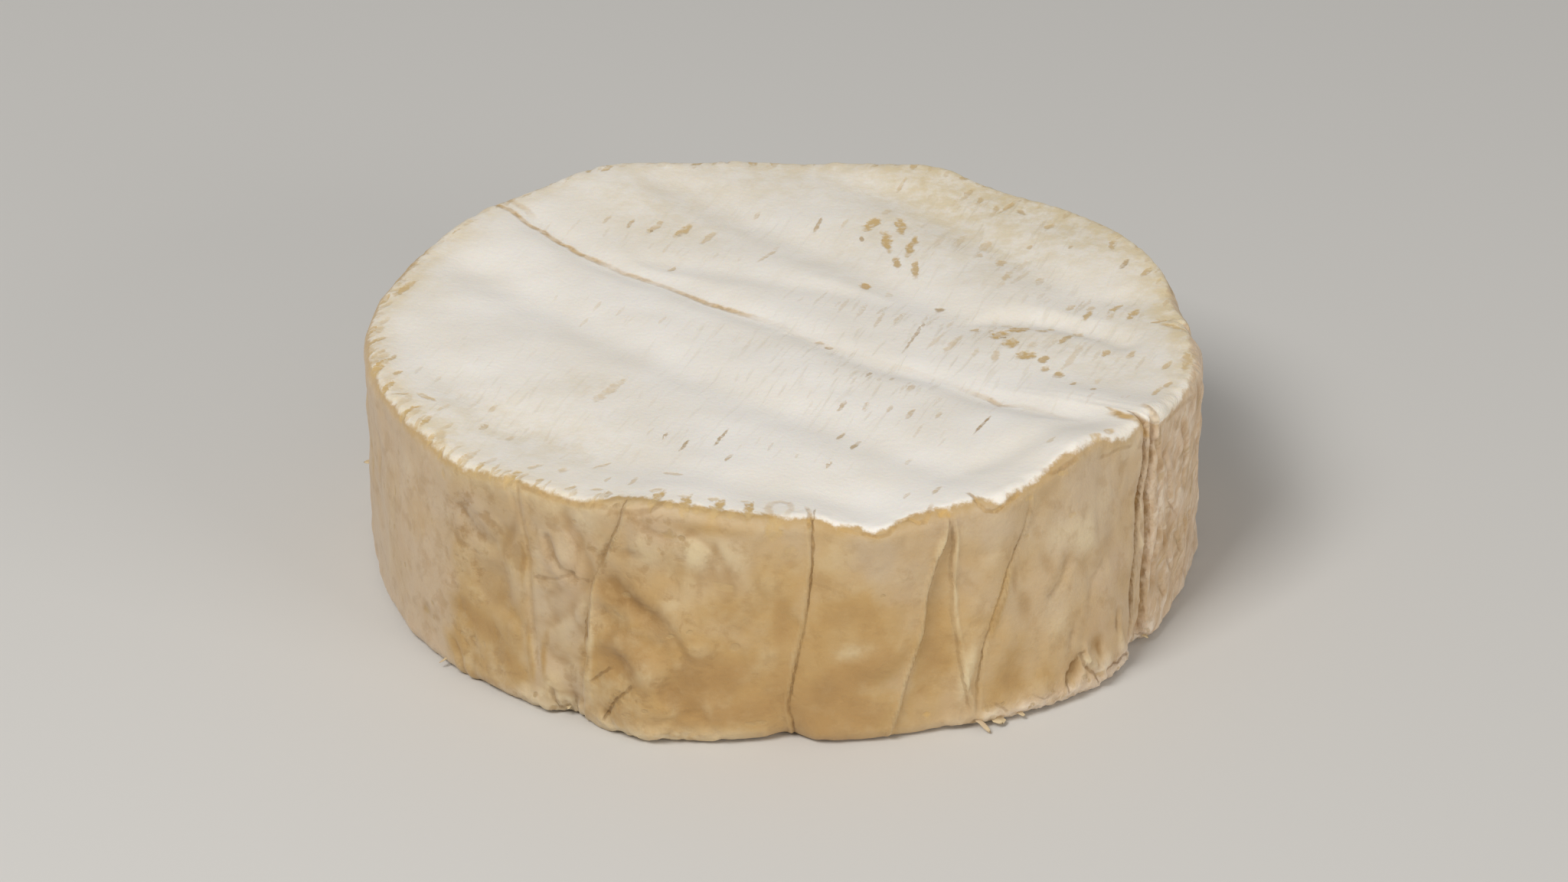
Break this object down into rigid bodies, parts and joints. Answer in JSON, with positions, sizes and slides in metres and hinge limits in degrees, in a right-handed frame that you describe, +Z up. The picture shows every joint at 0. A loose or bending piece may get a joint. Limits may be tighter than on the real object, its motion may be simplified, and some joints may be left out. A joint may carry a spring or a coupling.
{
  "type": "cheese wheel",
  "caption": "Whole round soft-ripened cheese wheel with a pale bloomy rind, rack-marked flat top, creased golden wall and a flat base.",
  "frame": {"origin": "middle of the bounding box on the flat face that the wheel rests on", "axes": "+Z up through the wheel's flat faces; -Y towards the side with the raised lip and the deepest creases"},
  "size_m": [0.1086, 0.1104, 0.033],
  "materials": {
    "rind": "dry, velvety white mould bloom on the top, thinner and golden tan to beige on the creased wall"
  },
  "bodies": {
    "root": {"cheese_wheel": "rind"}
  },
  "joints": []
}
